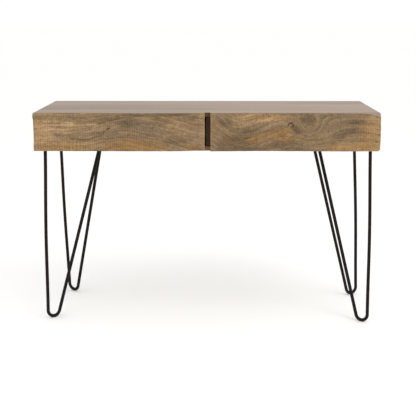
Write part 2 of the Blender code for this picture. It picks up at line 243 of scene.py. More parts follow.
class Finish:
    # one material, built node by node
    def __init__(self, name, specular=0.35):
        self.material = bpy.data.materials.new(name)
        self.material.use_nodes = True
        self.tree = self.material.node_tree
        self.shader = self.tree.nodes["Principled BSDF"]
        self.shader.inputs["Specular IOR Level"].default_value = specular
        self.place = self.node("TexCoord", {}, {}, "Object")

    def node(self, kind, settings, sockets, output=0):
        made = self.tree.nodes.new("ShaderNode" + kind)
        for name, value in settings.items():
            setattr(made, name, value)
        for name, value in sockets.items():
            self.feed(made.inputs[name], value)
        return Wire(self, made.outputs[output])

    def feed(self, socket, value):
        if isinstance(value, Wire):
            self.tree.links.new(value.socket, socket)
        else:
            socket.default_value = value[:3] if socket.type == "VECTOR" else value

    def calc(self, operation, *values):
        return self.node("Math", {"operation": operation}, dict(enumerate(values)))

    def scaled(self, vector, factors):
        return self.node("VectorMath", {"operation": "MULTIPLY"}, {0: vector, 1: factors})

    def noise(self, vector, scale, detail=3.0, roughness=0.55, distortion=0.0):
        sockets = {
            "Vector": vector,
            "Scale": scale,
            "Detail": detail,
            "Roughness": roughness,
            "Distortion": distortion,
        }
        return self.node("TexNoise", {}, sockets)

    def rise(self, value, low, high):
        # 0 below low, 1 above high, eased in between
        sockets = {0: value, 1: low, 2: high}
        return self.node("MapRange", {"interpolation_type": "SMOOTHSTEP"}, sockets)

    def mix(self, factor, first, second):
        return self.node("Mix", {"data_type": "RGBA"}, {0: factor, 6: first, 7: second}, 2)

    def shade(self, colour, factor):
        # a colour times a number
        return self.node("VectorMath", {"operation": "SCALE"}, {0: colour, "Scale": factor})

    def field(self, name):
        return self.node("Attribute", {"attribute_name": name}, {}, "Fac")

    def parts(self, vector):
        split = self.node("SeparateXYZ", {}, {0: vector})
        return [Wire(self, socket) for socket in split.socket.node.outputs]

    def joined(self, *values):
        return self.node("CombineXYZ", {}, dict(enumerate(values)))

    def done(self, colour, roughness, height=None, metallic=None):
        # heights are in millimetres
        self.feed(self.shader.inputs["Base Color"], colour)
        self.feed(self.shader.inputs["Roughness"], roughness)
        if metallic is not None:
            self.feed(self.shader.inputs["Metallic"], metallic)
        if height is not None:
            sockets = {"Height": height, "Strength": 1.0, "Distance": 0.001}
            bump = self.node("Bump", {}, sockets, "Normal")
            self.feed(self.shader.inputs["Normal"], bump)
        return self.material


# Wood

topTones = {
    "dark": paint(129, 112, 97),
    "light": paint(156, 137, 120),
    "rose": paint(161, 137, 119),
    "staveWidth": 0.121,
}
frontTones = {
    "brown": paint(140, 113, 79),
    "drab": paint(126, 105, 79),
    "gold": paint(144, 107, 62),
    "orange": paint(150, 104, 48),
    "pale": paint(184, 151, 108),
    "smoke": paint(96, 77, 55),
    "knot": paint(38, 28, 17),
}
plainTones = {
    "dark": paint(142, 112, 76),
    "light": paint(186, 156, 116),
    "endGrain": paint(128, 98, 64),
}
# the divider's colours are painted dark: painted shade, since it lies back in the gap between the drawer
# fronts
dividerShadeTones = {
    "dark": paint(48, 34, 16),
    "light": paint(98, 70, 34),
    "endGrain": paint(66, 47, 22),
}


def alongGrain(finish, axis):
    # the point's place with the grain's direction first
    x, y, z = finish.parts(finish.place)
    return {"x": (x, y, z), "y": (y, x, z), "z": (z, x, y)}[axis]


def growth(finish, along, across, up, heart, pitch):
    # how far out from the tree's heart line, in rings, bent a little along the grain
    sway = finish.noise(finish.joined(along * 1.3, across * 5.0, up * 5.0), 1.0, 2.0)
    bend = finish.noise(finish.joined(along * 6.0, across * 14.0, up * 14.0), 1.0, 2.0)
    shift = (sway - 0.5) * 0.10 + (bend - 0.5) * 0.012
    flat = finish.joined(0.0, across - heart[0] + shift, up - heart[1])
    radius = finish.node("VectorMath", {"operation": "LENGTH"}, {0: flat}, "Value")
    return radius * (1.0 / pitch)


def ringTone(finish, rings):
    # each ring darkens slowly and ends at a line
    share = finish.calc("FRACT", rings)
    return finish.calc("POWER", share, 2.2) * (1.0 - finish.rise(share, 0.93, 1.0))


def fibres(finish, along, across, up):
    # fine lines that run with the grain
    return finish.noise(finish.joined(along * 9.0, across * 620.0, up * 620.0), 1.0, 3.0, 0.6)


def pores(finish, along, across, up):
    # short dark strokes
    strokes = finish.noise(finish.joined(along * 70.0, across * 1500.0, up * 1500.0), 1.0, 1.0, 0.5)
    return finish.rise(strokes, 0.66, 0.76)


def topLook(finish):
    # smooth, stained and waxed boards glued side by side: colour, roughness and height
    along, across, up = alongGrain(finish, "x")
    stave = finish.calc("FLOOR", (across + 0.244) * (1.0 / topTones["staveWidth"]))
    edge = finish.calc("PINGPONG", across + 0.244, topTones["staveWidth"] / 2)
    own = finish.node("TexWhiteNoise", {"noise_dimensions": "1D"}, {"W": stave})
    rings = growth(finish, along + own * 9.0, across + (own - 0.5) * 0.3, up, (0.03, 0.66), 0.0085)
    tone = ringTone(finish, rings)
    bands = finish.noise(finish.joined(along * 1.1, across * 16.0, up * 16.0), 1.0, 3.0, 0.6)
    clouds = finish.noise(finish.joined(along * 2.6, across * 9.0, 0.3), 1.0, 2.0)
    fine = fibres(finish, along, across, up)
    dark = pores(finish, along, across, up)
    light = finish.rise(bands * 0.62 + fine * 0.38 + (own - 0.5) * 0.12, 0.31, 0.68)
    colour = finish.mix(light, topTones["dark"], topTones["light"])
    colour = finish.mix(finish.rise(clouds, 0.45, 0.72) * 0.45, colour, topTones["rose"])
    joint = 1.0 - finish.rise(edge, 0.0, 0.0007)
    shadow = 1.0 - tone * 0.16 - dark * 0.18 - joint * 0.22 + (fine - 0.5) * 0.24
    colour = finish.shade(colour, shadow)
    roughness = 0.50 + fine * 0.14 + dark * 0.10
    height = fine * 0.05 - dark * 0.06 - joint * 0.12 - tone * 0.03
    return colour, roughness, height


sawPitch = 0.0083


def sawnLook(finish, axis):
    # rough boards: saw marks lie across the grain
    along, across, up = alongGrain(finish, axis)
    rings = growth(finish, along, across, up, (0.05, 0.58), 0.011)
    tone = ringTone(finish, rings)
    fine = fibres(finish, along, across, up)
    dark = pores(finish, along, across, up)
    broad = finish.noise(finish.joined(along * 2.2, across * 34.0, up * 34.0), 1.0, 4.0, 0.6)
    ragged = finish.noise(finish.joined(along * 15.0, across * 130.0, up * 130.0), 1.0, 3.0, 0.65)
    patches = finish.noise(finish.joined(along * 3.5, across * 14.0, up * 14.0), 1.0, 3.0)
    patches = patches + (ragged - 0.5) * 0.5
    jitter = finish.noise(finish.joined(along * 11.0, across * 3.0, up * 3.0), 1.0, 1.0)
    saw = finish.calc("PINGPONG", along + jitter * 0.012, sawPitch / 2) * (2.0 / sawPitch)
    worn = finish.rise(finish.noise(finish.place, 16.0, 2.0), 0.38, 0.62)
    normal = finish.parts(finish.node("NewGeometry", {}, {}, "Normal"))["xyz".index(axis)]
    endGrain = finish.rise(finish.calc("ABSOLUTE", normal), 0.7, 0.9)
    dots = finish.noise(finish.place, 1100.0, 2.0)
    colour = finish.mix(finish.rise(patches, 0.40, 0.60), frontTones["drab"], frontTones["brown"])
    colour = finish.mix(finish.rise(patches, 0.52, 0.70) * 0.8, colour, frontTones["gold"])
    colour = finish.mix(finish.rise(patches, 0.46, 0.30) * 0.5, colour, frontTones["smoke"])
    # the case boards' front edges get painted shade, since they lie back in the gap between the drawer
    # fronts, plus a warmer brown that is the sawn edge's own tone
    edge = finish.field("frontEdge")
    colour = finish.mix(edge * 0.95, colour, frontTones["gold"])
    shadow = 1.14 + (broad - 0.5) * 0.9 + (fine - 0.5) * 0.60 + (ragged - 0.5) * 0.4
    shadow = shadow - tone * 0.22 - dark * 0.20
    # painted shade in the saw marks' grooves, where the bump is lowest
    shadow = shadow - finish.rise(saw, 0.6, 1.0) * worn * (1.0 - endGrain) * 0.20
    # end grain is darker, and the front edges get painted shade
    shadow = shadow - endGrain * (0.22 + finish.rise(dots, 0.5, 0.7) * 0.2) - edge * 0.69
    colour = finish.shade(colour, shadow)
    height = fine * 0.14 - dark * 0.10 - saw * worn * 0.16 - tone * 0.05 - endGrain * dots * 0.1
    return colour, 0.66 + fine * 0.2, height


def sawnBoard(axis):
    finish = Finish("sawn board " + axis, 0.25)
    return finish.done(*sawnLook(finish, axis))


def smoothTop():
    # finished where it faces up, and sawn round its edges
    finish = Finish("stained top")
    colour, roughness, height = sawnLook(finish, "x")
    topColour, topRoughness, topHeight = topLook(finish)
    upward = finish.field("upward")
    colour = finish.mix(upward, colour, topColour)
    roughness = roughness + upward * (topRoughness - roughness)
    height = height + upward * (topHeight - height)
    return finish.done(colour, roughness, height)


def plainBoard(name, axis, tones):
    # planed boards inside the case
    finish = Finish(name, 0.3)
    along, across, up = alongGrain(finish, axis)
    rings = growth(finish, along, across, up, (0.04, 0.60), 0.0065)
    tone = ringTone(finish, rings)
    fine = fibres(finish, along, across, up)
    dark = pores(finish, along, across, up)
    broad = finish.noise(finish.joined(along * 1.6, across * 22.0, up * 22.0), 1.0, 3.0)
    normal = finish.parts(finish.node("NewGeometry", {}, {}, "Normal"))["xyz".index(axis)]
    endGrain = finish.rise(finish.calc("ABSOLUTE", normal), 0.7, 0.9)
    dots = finish.noise(finish.place, 1300.0, 2.0)
    colour = finish.mix(finish.rise(broad * 0.6 + fine * 0.4, 0.3, 0.7), tones["dark"], tones["light"])
    colour = finish.mix(endGrain * 0.75, colour, tones["endGrain"])
    shadow = 1.0 - tone * 0.20 - dark * 0.18 - endGrain * finish.rise(dots, 0.55, 0.7) * 0.2
    colour = finish.shade(colour, shadow)
    height = fine * 0.05 - dark * 0.08 - tone * 0.02
    return finish.done(colour, 0.58 + fine * 0.16, height)


# Drawer fronts: thick sawn boards that keep the tree's edges. Places on a front are X on the desk
# and height above the case's lower edge.

frontBoards = {
    "left": {
        # how far along, how far in: the end from the bottom up, the others from the finger gap
        "end": ((0.0, 0.0008), (0.4, 0.0022), (0.8, 0.0018), (0.95, 0.0), (1.0, 0.0)),
        "top": ((0.0, 0.0004), (0.3, 0.0008), (0.8, 0.0), (0.93, 0.0002), (1.0, 0.0060)),
        "bottom": ((0.0, 0.0022), (0.22, 0.0), (1.0, 0.0006)),
        "seed": 11,
        "shade": 0.99,
        "topShade": 0.90,
        "contrast": 1.12,
        "sawnFrom": ((-0.605, 1.0), (-0.30, 1.0), (-0.12, 0.5), (0.0, 0.35)),
        "grainDrop": ((-0.605, 0.0), (-0.45, 0.0), (-0.28, -0.013), (-0.20, 0.0), (0.0, 0.045)),
        # centre, half size, slope in degrees, strength
        "gold": (
            ((-0.590, 0.085), (0.030, 0.060), 0, 0.45),
            ((-0.500, 0.012), (0.160, 0.026), 0, 0.75),
            ((-0.270, 0.015), (0.128, 0.032), 0, 1.0),
            ((-0.148, 0.011), (0.018, 0.009), 0, 0.9),
            ((-0.048, 0.014), (0.030, 0.011), 8, 0.9),
        ),
        "pale": (
            ((-0.484, 0.095), (0.030, 0.012), 0, 0.9),
            ((-0.504, 0.067), (0.036, 0.014), 0, 0.8),
            ((-0.587, 0.090), (0.020, 0.026), 0, 0.9),
            ((-0.575, 0.060), (0.080, 0.080), 0, 0.75),
            ((-0.480, 0.012), (0.220, 0.028), 0, 0.75),
            ((-0.430, 0.060), (0.050, 0.014), 0, 0.5),
            ((-0.150, 0.072), (0.070, 0.014), -14, 0.35),
            ((-0.410, 0.085), (0.080, 0.020), 0, 0.4),
        ),
        "smoke": (
            # the first is a darker band along the board's top
            ((-0.170, 0.127), (0.150, 0.008), 0, 1.0),
            ((-0.070, 0.118), (0.060, 0.020), 0, 0.55),
            ((-0.575, 0.119), (0.040, 0.012), 0, 0.55),
            ((-0.028, 0.012), (0.030, 0.016), 0, 0.55),
            ((-0.355, 0.113), (0.080, 0.007), 9, 0.8),
            ((-0.273, 0.097), (0.046, 0.020), 0, 0.9),
            ((-0.440, 0.044), (0.060, 0.008), 0, 0.3),
            ((-0.345, 0.055), (0.050, 0.014), 0, 0.4),
            ((-0.155, 0.108), (0.045, 0.014), -8, 0.8),
            ((-0.110, 0.036), (0.060, 0.020), -8, 0.7),
            ((-0.050, 0.090), (0.050, 0.030), -10, 0.4),
            ((-0.190, 0.060), (0.070, 0.014), 0, 0.6),
        ),
        # centre, reach, height of the hill that bends the grain
        "hills": (
            ((-0.342, 0.080), (0.014, 0.009), 0.016),
            ((-0.270, 0.000), (0.100, 0.060), -0.016),
        ),
        # centre, radius, strength of the ring and of the heart
        "knots": (
            ((-0.342, 0.080), 0.0060, 0.55, 1.15),
            ((-0.376, 0.051), 0.0040, 0.2, 0.4),
        ),
        # places that a thin dark line runs through, its half width, strength
        "veins": (
            (((-0.475, 0.043), (-0.420, 0.040), (-0.375, 0.052), (-0.343, 0.078)), 0.0034, 1.25),
            (
                ((-0.380, 0.098), (-0.335, 0.108), (-0.280, 0.120), (-0.220, 0.1265), (-0.050, 0.131)),
                0.0032,
                1.15,
            ),
            (((-0.600, 0.119), (-0.530, 0.112), (-0.450, 0.106), (-0.360, 0.103)), 0.0022, 0.6),
            (((-0.345, 0.086), (-0.325, 0.092), (-0.300, 0.094)), 0.0022, 0.7),
            (((-0.560, 0.057), (-0.520, 0.053), (-0.480, 0.055)), 0.0018, 0.6),
            (((-0.545, 0.084), (-0.515, 0.081), (-0.490, 0.080)), 0.0016, 0.6),
        ),
    },
    "right": {
        "end": ((0.0, 0.0010), (0.3, 0.0), (0.6, 0.0), (1.0, 0.0012)),
        "top": ((0.0, 0.0004), (0.5, 0.0), (0.90, 0.0006), (0.96, 0.0052), (1.0, 0.0130)),
        "bottom": ((0.0, 0.0), (0.3, 0.0012), (0.8, 0.0), (0.985, 0.0002), (1.0, 0.0050)),
        "seed": 23,
        "shade": 0.91,
        "topShade": 0.97,
        "contrast": 1.15,
        "sawnFrom": ((0.0, 0.35), (0.10, 0.55), (0.30, 0.45), (0.40, 0.25), (0.52, 0.7), (0.605, 0.8)),
        "grainDrop": ((0.0, -0.045), (0.105, 0.020), (0.29, -0.028), (0.40, -0.030), (0.605, -0.030)),
        "gold": (
            ((0.153, 0.037), (0.056, 0.016), 12, 1.2),
            ((0.240, 0.062), (0.080, 0.017), 14, 1.1),
            ((0.200, 0.045), (0.070, 0.014), 14, 0.8),
            ((0.275, 0.043), (0.048, 0.022), 0, 0.75),
            ((0.575, 0.065), (0.060, 0.080), 0, 0.75),
            ((0.510, 0.012), (0.130, 0.022), 3, 0.8),
            ((0.190, 0.120), (0.130, 0.014), 0, 0.6),
        ),
        "pale": (
            ((0.590, 0.070), (0.050, 0.080), 0, 1.1),
            ((0.530, 0.012), (0.120, 0.022), 3, 1.0),
            ((0.125, 0.102), (0.040, 0.013), 0, 0.8),
            ((0.180, 0.117), (0.100, 0.018), 2, 1.1),
            ((0.410, 0.060), (0.060, 0.040), 0, 0.25),
        ),
        "smoke": (
            ((0.065, 0.100), (0.030, 0.020), 0, 0.7),
            ((0.100, 0.020), (0.090, 0.050), 0, 0.85),
            ((0.120, 0.006), (0.120, 0.016), 0, 0.95),
            ((0.150, 0.066), (0.060, 0.016), 10, 0.8),
            ((0.230, 0.072), (0.070, 0.010), 12, 0.7),
            ((0.255, 0.025), (0.100, 0.012), 6, 0.7),
            ((0.020, 0.060), (0.030, 0.090), 0, 0.35),
            ((0.240, 0.034), (0.040, 0.010), 0, 0.5),
            ((0.314, 0.073), (0.030, 0.014), -30, 1.0),
            ((0.351, 0.111), (0.034, 0.019), 0, 0.85),
            ((0.340, 0.090), (0.070, 0.050), 0, 0.35),
            ((0.300, 0.010), (0.070, 0.020), 0, 0.6),
            ((0.480, 0.062), (0.060, 0.018), 25, 0.85),
            ((0.508, 0.102), (0.030, 0.007), 0, 0.9),
            ((0.433, 0.125), (0.006, 0.006), 0, 0.9),
            ((0.420, 0.030), (0.050, 0.020), 0, 0.4),
        ),
        "hills": (
            ((0.292, 0.092), (0.012, 0.011), 0.020),
            ((0.351, 0.111), (0.024, 0.017), 0.030),
            ((0.371, 0.070), (0.062, 0.042), 0.062),
            ((0.275, 0.043), (0.026, 0.016), 0.024),
        ),
        "knots": (
            ((0.292, 0.0915), 0.0100, 1.15, 0.45),
            ((0.301, 0.0840), 0.0055, 0.3, 0.6),
        ),
        "veins": (
            (((0.2795, 0.104), (0.2815, 0.094), (0.2835, 0.084)), 0.0040, 0.9),
            (((0.300, 0.128), (0.345, 0.1275), (0.372, 0.118), (0.377, 0.108)), 0.0020, 0.9),
            (((0.318, 0.064), (0.360, 0.052), (0.400, 0.062), (0.424, 0.088)), 0.0018, 0.6),
            (((0.330, 0.078), (0.365, 0.068), (0.395, 0.078), (0.408, 0.100)), 0.0016, 0.6),
            (((0.480, 0.116), (0.486, 0.104), (0.492, 0.096)), 0.0030, 0.8),
            (((0.240, 0.048), (0.262, 0.053), (0.285, 0.050)), 0.0022, 0.95),
            (((0.255, 0.036), (0.285, 0.037), (0.312, 0.044)), 0.0022, 0.9),
            (((0.140, 0.022), (0.180, 0.030), (0.235, 0.046)), 0.0026, 0.8),
            (((0.150, 0.056), (0.190, 0.064), (0.240, 0.078), (0.280, 0.084)), 0.0026, 0.8),
            (((0.492, 0.108), (0.520, 0.1065), (0.548, 0.107)), 0.0018, 0.8),
            (((0.495, 0.096), (0.525, 0.0955), (0.545, 0.097)), 0.0016, 0.7),
            (((0.235, 0.019), (0.275, 0.021), (0.312, 0.026)), 0.0022, 0.9),
        ),
    },
}
frontShape = {
    "pitchAlong": 0.0012,
    "pitchUp": 0.0026,
    "arris": 0.0032,  # space kept for the rounding, which itself varies
    "arrisLeast": 0.0005,
    "arrisMost": 0.0024,
    "sawDepth": 0.00034,
    "waviness": 0.0006,
    "knotHollow": 0.0006,
    "tornDepth": 0.00025,
    "planedBand": 0.018,  # at the finger gap, sanded smooth
}


def figureOf(board, x, h):
    # the grain's lines are this field's contours: height, plus a drop along the board, plus hills
    figure = h + curveThrough(board["grainDrop"], x)
    for centre, reach, hill in board["hills"]:
        u = (x - centre[0]) / reach[0]
        v = (h - centre[1]) / reach[1]
        figure = figure + hill * np.exp(-(u**2) - v**2)
    return figure + 0.0022 * wander(x * 16.0, h * 60.0, board["seed"] + 1)


def spotsOf(spots, x, h):
    total = np.zeros_like(x)
    for centre, half, slope, strength in spots:
        total = np.maximum(total, strength * spot(x, h, centre, half, slope))
    return total


def veinsOf(veins, x, h):
    total = np.zeros_like(x)
    for line, halfWidth, strength in veins:
        middle = curveThrough(line, x)
        inside = ease((x - line[0][0]) / 0.006 + 0.5) * ease((line[-1][0] - x) / 0.006 + 0.5)
        total = np.maximum(total, strength * inside * np.exp(-(((h - middle) / halfWidth) ** 2)))
    return total


def knotsOf(knots, x, h, seed):
    # a dark heart inside a ring, neither quite round, and the ring broken in places
    total = np.zeros_like(x)
    for centre, radius, ring, heart in knots:
        away = np.hypot(x - centre[0], (h - centre[1]) * 1.1) / radius
        away = away + 0.28 * wander(x * 160.0, h * 160.0, seed)
        turn = np.arctan2(h - centre[1], x - centre[0])
        patchy = wander(8 + 1.6 * np.cos(turn), 8 + 1.6 * np.sin(turn), seed + 1)
        breaks = np.clip(0.75 + 0.7 * patchy, 0.1, 1.0)
        total = np.maximum(total, ring * breaks * np.exp(-(((away - 0.80) / 0.34) ** 2)))
        total = np.maximum(total, heart * np.exp(-((away / 0.6) ** 2)))
    return total


def drawerFront(side, finish):
    board = frontBoards[side]
    name = side + "_drawer_front"
    low, high = (np.array(corner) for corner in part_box(name))
    low[2] = desk["caseBottom"]
    high[2] = desk["top"]
    space = frontShape["arris"]
    xs = steps(low[0], high[0], frontShape["pitchAlong"], space)
    ys = steps(low[1], high[1], 0.003, space)
    zs = steps(low[2], high[2], frontShape["pitchUp"], space)
    flat, quads = boxShell(xs, ys, zs)
    x, y, z = flat.T
    h = z - low[2]
    seed = board["seed"]

    # the arris is rounder where the tree's edge was rougher, and crisp against the top board
    wear = 0.5 + 0.5 * wander(x * 22.0, z * 9.0 + y * 30.0, seed)
    radius = frontShape["arrisLeast"] + (frontShape["arrisMost"] - frontShape["arrisLeast"]) * wear
    radius = radius * (1 - 0.8 * ease((z - low[2]) / (high[2] - low[2]) * 6 - 5))
    behind = ease((y - low[1]) / (high[1] - low[1]) * 4 - 1.5)
    radius = radius * (1 - behind) + 0.0004 * behind
    points = roundArrises(flat, low, high, radius)

    # edges: how far along from the finger gap, and how far up
    out = -1 if side == "left" else 1
    inner = high[0] if side == "left" else low[0]
    span = high[0] - low[0]
    along = (points[:, 0] - inner) * out / span
    up = (points[:, 2] - low[2]) / (high[2] - low[2])
    rough = 0.0003 * (1 + wander(x * 70.0, z * 70.0 + y * 40.0, seed + 2)) * ease(along * 40 - 0.6)
    endIn = curveThrough(board["end"], up) + rough
    # the top's dip is a hewn slope: it starts at the back edge and is deepest at the face
    fromFace = (points[:, 1] - low[1]) / (high[1] - low[1])
    topIn = curveThrough(board["top"], along) * (1 - ease(fromFace * 1.05))
    bottomIn = curveThrough(board["bottom"], along) + rough * 0.8
    points[:, 0] = inner + out * along * (span - endIn)
    points[:, 2] = low[2] + bottomIn + up * (high[2] - low[2] - topIn - bottomIn)

    # relief on the face: saw marks, slow waves, and hollows at the knots
    face = ease(1 - (y - low[1]) / 0.004)
    planed = 1 - ease((np.abs(x - inner) - frontShape["planedBand"]) / 0.002 + 0.5)
    sawn = curveThrough(board["sawnFrom"], x) * (1 - 0.9 * planed)
    sawn = sawn * (0.55 + 0.45 * wander(x * 9.0, h * 14.0, seed + 3))
    phase = x / sawPitch + 1.1 * wander(x * 14.0, h * 3.0, seed + 4)
    phase = phase + 0.25 * wander(x * 40.0, h * 12.0, seed + 5)
    saw = (0.5 + 0.5 * np.cos(2 * math.pi * phase)) * sawn
    figure = figureOf(board, x, h) + 0.35 * (y - low[1])
    knots = knotsOf(board["knots"], x, h, seed + 6)
    waves = 0.5 + 0.5 * wander(x * 7.0, h * 11.0, seed + 7)
    torn = ease(wander(x * 35.0, figure * 260.0, seed + 8) * 2.2 - 0.9) * (1 - planed)
    depth = frontShape["sawDepth"] * saw + frontShape["waviness"] * waves
    depth = depth + frontShape["knotHollow"] * np.clip(knots, 0, 1) + frontShape["tornDepth"] * torn
    points[:, 1] += depth * face * ease((h + 0.001) / 0.006) * ease((desk["caseHeight"] - h) / 0.006)

    # sanded like the top where the board faces up
    upward = ease((points[:, 2] - (high[2] - topIn) + 0.0004) / 0.0003)
    fields = {
        "figure": figure,
        "gold": spotsOf(board["gold"], x, h),
        "pale": spotsOf(board["pale"], x, h),
        "smoke": np.maximum(spotsOf(board["smoke"], x, h), veinsOf(board["veins"], x, h)),
        "knot": knots,
        "saw": saw,
        "torn": torn,
        "planed": planed,
        "shade": np.full(len(x), board["shade"]),
        "topShade": np.full(len(x), board["topShade"]),
        "contrast": np.full(len(x), board["contrast"]),
        "upward": upward,
    }
    body = side + "_drawer"
    return piece(name + "_slab", points, quads, finish, body, [name], fields)


def frontWood():
    finish = Finish("sawn front", 0.28)
    x, y, z = finish.parts(finish.place)
    figure = finish.field("figure")
    saw = finish.field("saw")
    torn = finish.field("torn")
    planed = finish.field("planed")
    broad = finish.noise(finish.joined(x * 3.0, figure * 80.0, y * 8.0), 1.0, 3.0, 0.6)
    lines = finish.noise(finish.joined(x * 7.0, figure * 330.0, y * 30.0), 1.0, 3.0, 0.65)
    fine = finish.noise(finish.joined(x * 24.0, figure * 1100.0, y * 90.0), 1.0, 2.0, 0.6)
    ragged = finish.noise(finish.joined(x * 30.0, figure * 190.0, y * 20.0), 1.0, 3.0, 0.65)
    mottle = finish.noise(finish.joined(x * 110.0, z * 150.0, y * 110.0), 1.0, 3.0, 0.6)
    cloud = finish.noise(finish.joined(x * 9.0, z * 16.0, y * 9.0), 1.0, 2.0)
    ground = finish.rise(cloud * 0.5 + broad * 0.5, 0.36, 0.64)
    colour = finish.mix(ground, frontTones["drab"], frontTones["brown"])
    broken = (ragged - 0.5) * 2.4 + (cloud - 0.5) * 0.8
    pale = finish.rise(finish.field("pale") + broken, 0.10, 1.30)
    colour = finish.mix(pale * 0.9, colour, frontTones["pale"])
    gold = finish.rise(finish.field("gold") + broken * 0.8, 0.15, 1.10)
    colour = finish.mix(gold * 0.85, colour, frontTones["gold"])
    bright = finish.rise(finish.field("gold") * 0.5 + (lines - 0.5) * 2.0, 0.55, 1.05)
    colour = finish.mix(bright * 0.6, colour, frontTones["orange"])
    smoke = finish.rise(finish.field("smoke") + broken * 0.9, 0.10, 1.20)
    colour = finish.mix(smoke * 0.9, colour, frontTones["smoke"])
    knot = finish.rise(finish.field("knot") + (lines - 0.5) * 0.8, 0.30, 0.95)
    colour = finish.mix(knot * 0.8, colour, frontTones["knot"])
    strokes = finish.noise(finish.joined(x * 80.0, figure * 1700.0, y * 300.0), 1.0, 1.0, 0.5)
    dark = finish.rise(strokes, 0.62, 0.74)
    grain = (broad - 0.5) * 0.80 + (lines - 0.5) * 0.85 + (mottle - 0.5) * 1.05 + (fine - 0.5) * 0.65
    shadow = 0.985 + grain * finish.field("contrast") - dark * 0.20
    # the saw marks' grooves get painted shade, on top of their carved relief
    shadow = shadow - saw * (0.06 + mottle * 0.50) - torn * 0.14 + planed * 0.04
    colour = finish.shade(colour, shadow * finish.field("shade"))
    roughness = 0.64 + fine * 0.2 - planed * 0.08
    height = lines * 0.10 + fine * 0.08 + mottle * 0.08 - torn * 0.12 - dark * 0.10
    topColour, topRoughness, topHeight = topLook(finish)
    upward = finish.field("upward")
    colour = finish.mix(upward, colour, finish.shade(topColour, finish.field("topShade")))
    roughness = roughness + upward * (topRoughness - roughness)
    height = height + upward * (topHeight - height)
    return finish.done(colour, roughness, height)


frontFinish = frontWood()
for side in frontBoards:
    drawerFront(side, frontFinish)
print("drawer fronts made")


# Case boards

endPanel = {"pitch": 0.0016, "axis": 1, "arris": 0.0010, "saw": 0.00016, "wave": 0.0003, "edge": 0.8}
caseBoards = {
    # pitch along the grain, grain axis, arris, depth of saw marks and waves, and how much painted
    # shade darkens the front edge, which lies back in the gap between the drawer fronts
    "top_board": {"pitch": 0.008, "axis": 0, "arris": 0.0012, "saw": 0.0, "wave": 0.00015, "edge": 1.0},
    "bottom_board": {"pitch": 0.008, "axis": 0, "arris": 0.0014, "saw": 0.0, "wave": 0.0002, "edge": 0.4},
    "left_end_panel": endPanel,
    "right_end_panel": endPanel,
    "back_panel": {"pitch": 0.0020, "axis": 0, "arris": 0.0008, "saw": 0.00014, "wave": 0.0003, "edge": 0.0},
}
caseShape = {
    "pitches": (0.006, 0.006, 0.004),
    "markPitch": 0.0062,
    "flatMargin": 0.006,  # from an edge to where the marks are at full depth
}


def caseBoard(name, shape, finish):
    low, high = (np.array(corner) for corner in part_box(name))
    pitches = list(caseShape["pitches"])
    pitches[shape["axis"]] = shape["pitch"]
    samples = [steps(low[axis], high[axis], pitches[axis], shape["arris"]) for axis in range(3)]
    flat, quads = boxShell(*samples)
    inward = ((low + high) / 2 - flat) / ((high - low) / 2)
    points = roundArrises(flat, low, high, shape["arris"])
    thin = int(np.argmin(high - low))
    others = [axis for axis in range(3) if axis != thin]
    u = flat[:, others[0]]
    v = flat[:, others[1]]
    grain = flat[:, shape["axis"]]
    seed = len(name)
    phase = grain / caseShape["markPitch"] + 0.9 * wander(u * 12.0, v * 4.0, seed)
    marks = (0.5 + 0.5 * np.cos(2 * math.pi * phase)) * (0.6 + 0.4 * wander(u * 8.0, v * 8.0, seed + 1))
    waves = 0.5 + 0.5 * wander(u * 5.0, v * 7.0, seed + 2)
    flatness = ease((np.abs(inward[:, thin]) - 0.9) / 0.1)
    margins = [np.minimum(flat[:, axis] - low[axis], high[axis] - flat[:, axis]) for axis in others]
    inset = ease(np.minimum(*margins) / caseShape["flatMargin"])
    depth = (shape["saw"] * marks + shape["wave"] * waves) * inset * flatness
    points[:, thin] += np.sign(inward[:, thin]) * depth
    fields = {
        "upward": ease((points[:, 2] - high[2] + 0.0006) / 0.0004),
        # the board's front face, which gets painted shade as strong as the board's edge value
        "frontEdge": shape["edge"] * ease((low[1] + 0.0012 - points[:, 1]) / 0.0004),
    }
    return piece(name + "_wood", points, quads, finish, "case", [name], fields)


topFinish = smoothTop()
sawnFinishes = {axis: sawnBoard(axis) for axis in "xy"}
plainFinishes = {axis: plainBoard("plain board " + axis, axis, plainTones) for axis in "xy"}
# the divider's finish carries painted shade in its colours
dividerShadeFinish = plainBoard("shaded divider", "y", dividerShadeTones)
for name, shape in caseBoards.items():
    isTop = name == "top_board"
    finish = topFinish if isTop else sawnFinishes["xyz"[shape["axis"]]]
    caseBoard(name, shape, finish)


softening = {"mergeWithin": 0.00001, "segments": 2, "edgeAngle": 30}


def refinish(name, finish, arris):
    # a CAD node keeps its shape and gets a finish and softer arrises
    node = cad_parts[name]
    for slot in node.material_slots:
        slot.material = finish
    joined = node.modifiers.new("joined", "WELD")
    joined.merge_threshold = softening["mergeWithin"]
    soft = node.modifiers.new("soft arris", "BEVEL")
    soft.width = arris
    soft.segments = softening["segments"]
    soft.limit_method = "ANGLE"
    soft.angle_limit = math.radians(softening["edgeAngle"])


refinish("centre_divider", dividerShadeFinish, 0.0005)
for side in frontBoards:
    for part in ("box_front", "back", "bottom"):
        refinish(f"{side}_drawer_{part}", plainFinishes["x"], 0.0006)
    for part in ("left_side", "right_side"):
        refinish(f"{side}_drawer_{part}", plainFinishes["y"], 0.0006)
print("case and drawer boxes finished")


# Metal

ironTones = {"base": paint(26, 17, 13), "worn": paint(46, 33, 26), "scale": paint(15, 10, 8)}
zincTones = {
    "base": paint(178, 180, 182),
    "dull": paint(158, 160, 163),
    "slotShade": paint(14, 14, 15),
    "slotShadeLength": 0.014,
}


